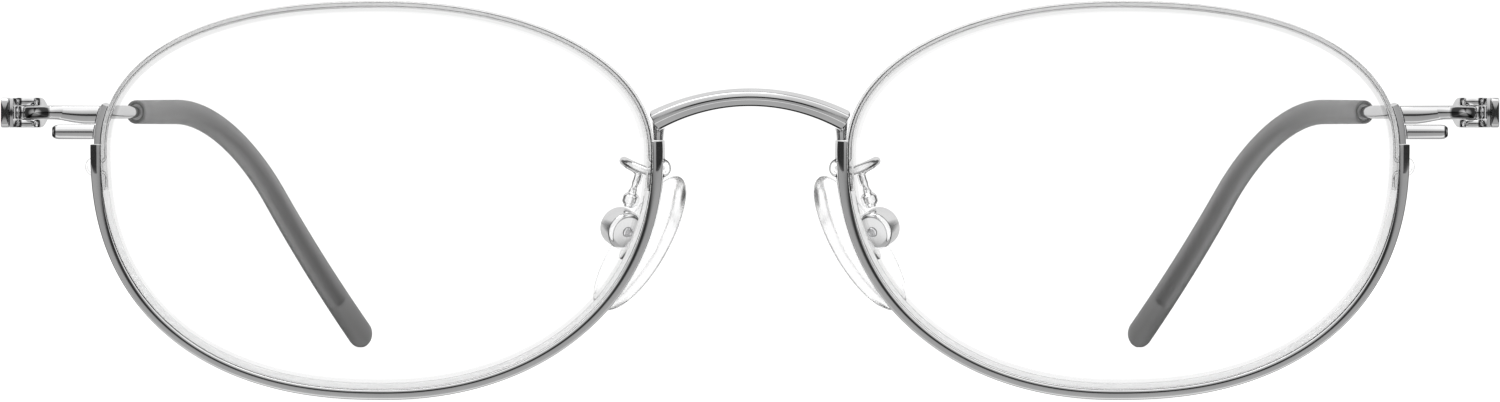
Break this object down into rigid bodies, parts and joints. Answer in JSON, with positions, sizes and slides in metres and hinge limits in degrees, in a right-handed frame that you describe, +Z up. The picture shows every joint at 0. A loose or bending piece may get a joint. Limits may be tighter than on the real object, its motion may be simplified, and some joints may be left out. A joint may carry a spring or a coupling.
{
  "type": "eyeglasses",
  "caption": "Oval half-rim wire eyeglasses: polished rims under clear lenses held by nylon cord, rocking nose pads, folding wire temples with smoke-grey sleeves.",
  "frame": {"origin": "on the surface the glasses stand on, under the middle of their bounding box", "axes": "+Z up; the lenses face -Y and the temples run towards +Y; +X towards the wearer's left"},
  "size_m": [0.1406, 0.1358, 0.037],
  "materials": {
    "polished_silver": "polished silver-coloured plating",
    "screw_steel": "turned steel",
    "clear_lens": "clear, coated, with a ground edge",
    "clear_nylon": "clear monofilament",
    "white_liner": "milky bedding strip",
    "clear_silicone": "clear, satin",
    "clear_insert": "clear, hard",
    "smoke_grey_acetate": "smoke-grey, slightly see-through, satin"
  },
  "bodies": {
    "front": {"bridge": "polished_silver", "left_lens": "clear_lens", "left_rim": "polished_silver", "left_rim_liner": "white_liner", "left_lens_cord": "clear_nylon", "left_bridge_foot": "polished_silver", "left_rim_lug": "polished_silver", "left_end_piece": "polished_silver", "left_end_trim": "polished_silver", "left_hinge_screw": "screw_steel", "left_pad_arm": "polished_silver", "left_pad_box": "polished_silver", "left_pad_screw": "screw_steel", "right_lens": "clear_lens", "right_rim": "polished_silver", "right_rim_liner": "white_liner", "right_lens_cord": "clear_nylon", "right_bridge_foot": "polished_silver", "right_rim_lug": "polished_silver", "right_end_piece": "polished_silver", "right_end_trim": "polished_silver", "right_hinge_screw": "screw_steel", "right_pad_arm": "polished_silver", "right_pad_box": "polished_silver", "right_pad_screw": "screw_steel"},
    "left_temple": {"left_temple": "polished_silver", "left_temple_hinge": "polished_silver", "left_temple_tip": "smoke_grey_acetate"},
    "right_temple": {"right_temple": "polished_silver", "right_temple_hinge": "polished_silver", "right_temple_tip": "smoke_grey_acetate"},
    "left_pad": {"left_pad_stem": "clear_insert", "left_nose_pad": "clear_silicone"},
    "right_pad": {"right_pad_stem": "clear_insert", "right_nose_pad": "clear_silicone"}
  },
  "joints": [
    {"name": "left_temple_fold", "type": "hinge", "parent": "front", "child": "left_temple", "pos_m": [0.0678, -0.05624, 0.02668], "axis": [0, 0, 1], "range_deg": [0, 80]},
    {"name": "right_temple_fold", "type": "hinge", "parent": "front", "child": "right_temple", "pos_m": [-0.0678, -0.05624, 0.02668], "axis": [0, 0, -1], "range_deg": [0, 72]},
    {"name": "left_pad_rock", "type": "hinge", "parent": "front", "child": "left_pad", "pos_m": [0.01197, -0.05854, 0.01588], "axis": [-0.424, -0.866, -0.265], "range_deg": [-8, 8]},
    {"name": "right_pad_rock", "type": "hinge", "parent": "front", "child": "right_pad", "pos_m": [-0.01197, -0.05854, 0.01588], "axis": [-0.424, 0.866, 0.265], "range_deg": [-8, 8]}
  ]
}
